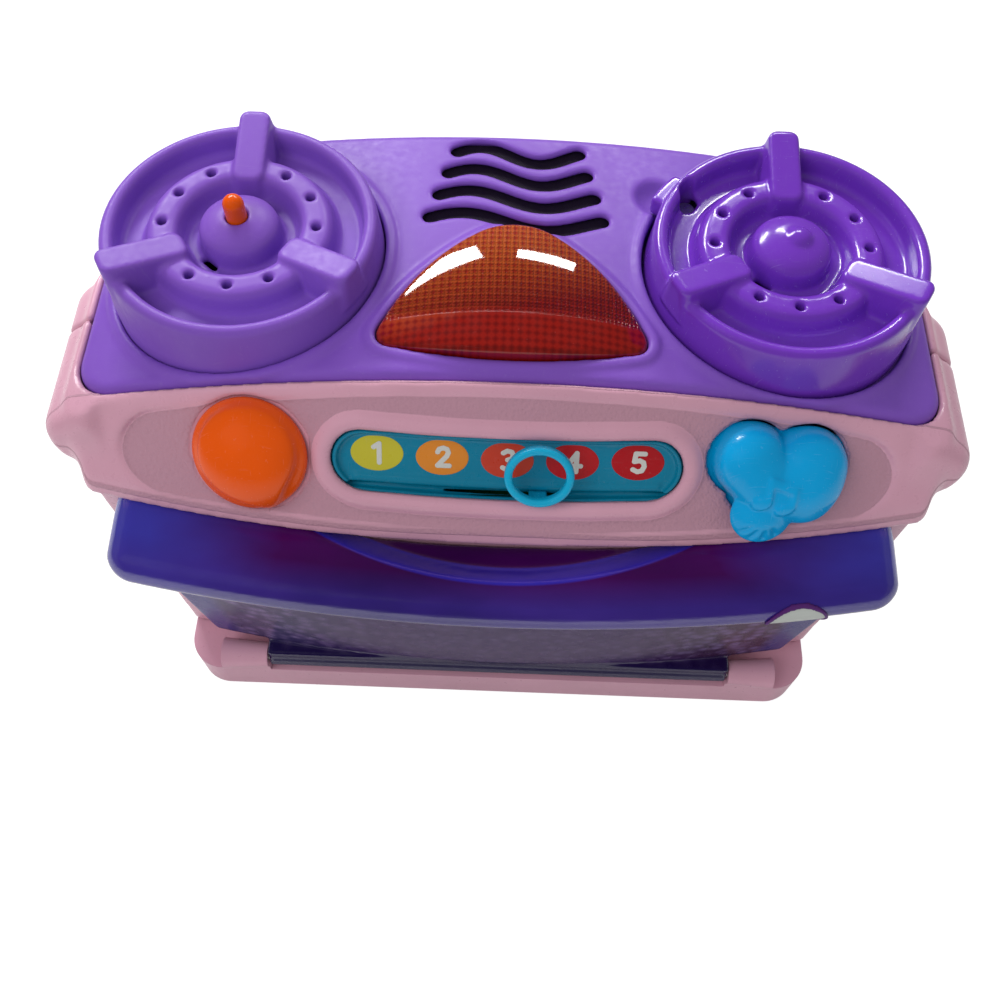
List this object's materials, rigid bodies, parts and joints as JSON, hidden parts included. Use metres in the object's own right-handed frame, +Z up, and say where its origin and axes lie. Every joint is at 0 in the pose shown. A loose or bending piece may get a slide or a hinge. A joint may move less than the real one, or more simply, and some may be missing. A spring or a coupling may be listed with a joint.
{
  "type": "toy oven",
  "caption": "Toy oven with a crowned cooktop, two moulded burners, lit lens, turning knob, number slider, press buttons and a drop-down see-through door",
  "frame": {"origin": "on the floor under the middle of the object's box", "axes": "+X to the player's right, +Y away from the player, +Z up"},
  "size_m": [0.295, 0.164, 0.206],
  "materials": {
    "purple_shell": "satin moulded purple ABS",
    "violet_shell": "glossy moulded violet ABS",
    "pink_shell": "satin moulded dusty pink ABS, fine texture on the panel",
    "orange_knob": "glossy orange plastic",
    "amber_lens": "clear amber plastic with a prism grid",
    "turquoise": "glossy turquoise plastic",
    "ring_blue": "glossy light turquoise plastic",
    "hat_blue": "glossy cyan plastic",
    "door_violet": "clear blue-violet plastic",
    "inner_purple": "matte purple plastic",
    "picture": "printed film",
    "badge": "printed film with a dark rim",
    "white_plastic": "white plastic",
    "black_plastic": "black plastic",
    "rubber": "grey silicone rubber",
    "steel": "zinc plated steel",
    "brass": "bare brass",
    "board": "green solder mask",
    "lamp": "clear LED body",
    "cell": "plain sleeve on steel can"
  },
  "bodies": {
    "housing": {"cooktop": "purple_shell", "front_shell": "pink_shell", "rear_shell": "pink_shell", "base_pan": "pink_shell", "window_lens": "amber_lens", "light_box": "white_plastic", "led_board": "board", "leds": "lamp", "battery_case": "inner_purple", "battery_cells": "cell", "battery_contacts": "steel", "nub_spring": "steel", "nub_switch": "black_plastic", "nub_board": "board", "speaker": "black_plastic", "oven_liner": "inner_purple", "hinge_pins": "steel", "door_catch": "steel", "number_track": "turquoise", "knob_switch": "black_plastic", "hat_pad": "rubber", "control_board": "board", "board_screws": "steel", "main_board": "board", "board_chips": "black_plastic", "power_switch": "black_plastic", "shell_screws": "steel", "base_screws": "steel"},
    "door": {"door_panel": "door_violet", "door_inner": "inner_purple", "door_picture": "picture", "door_badge": "badge"},
    "cover": {"battery_cover": "violet_shell", "cover_screw": "steel"},
    "nub": {"pot_nub": "orange_knob"},
    "slider": {"slider_ring": "ring_blue", "slider_carriage": "white_plastic", "slider_contacts": "brass"},
    "knob": {"timer_knob": "orange_knob"},
    "hat": {"hat_button": "hat_blue"},
    "power": {"power_slider": "purple_shell"}
  },
  "joints": [
    {"name": "door_hinge", "type": "hinge", "parent": "housing", "child": "door", "pos_m": [0, -0.056, 0.027], "axis": [1, 0, 0], "range_deg": [0, 88]},
    {"name": "knob_turn", "type": "hinge", "parent": "housing", "child": "knob", "pos_m": [-0.0785, -0.03899, 0.16113], "axis": [-0.0973, -0.7843, 0.6127], "range_deg": [0, 300]},
    {"name": "slider_slide", "type": "slide", "parent": "housing", "child": "slider", "axis": [1, 0, 0], "range_m": [-0.0484, 0.0276]},
    {"name": "hat_press", "type": "slide", "parent": "housing", "child": "hat", "axis": [-0.101, 0.784, -0.6125], "range_m": [0, 0.0025], "stiffness_N_per_m": 400, "springref_m": -0.002},
    {"name": "nub_press", "type": "slide", "parent": "housing", "child": "nub", "axis": [0, 0, -1], "range_m": [0, 0.003], "stiffness_N_per_m": 200, "springref_m": -0.002, "deforming": ["nub_spring"]},
    {"name": "cover_lift", "type": "slide", "parent": "housing", "child": "cover", "axis": [0, 0, 1], "range_m": [0, 0.03]},
    {"name": "power_slide", "type": "slide", "parent": "housing", "child": "power", "axis": [1, 0, 0], "range_m": [-0.004, 0.004]}
  ]
}
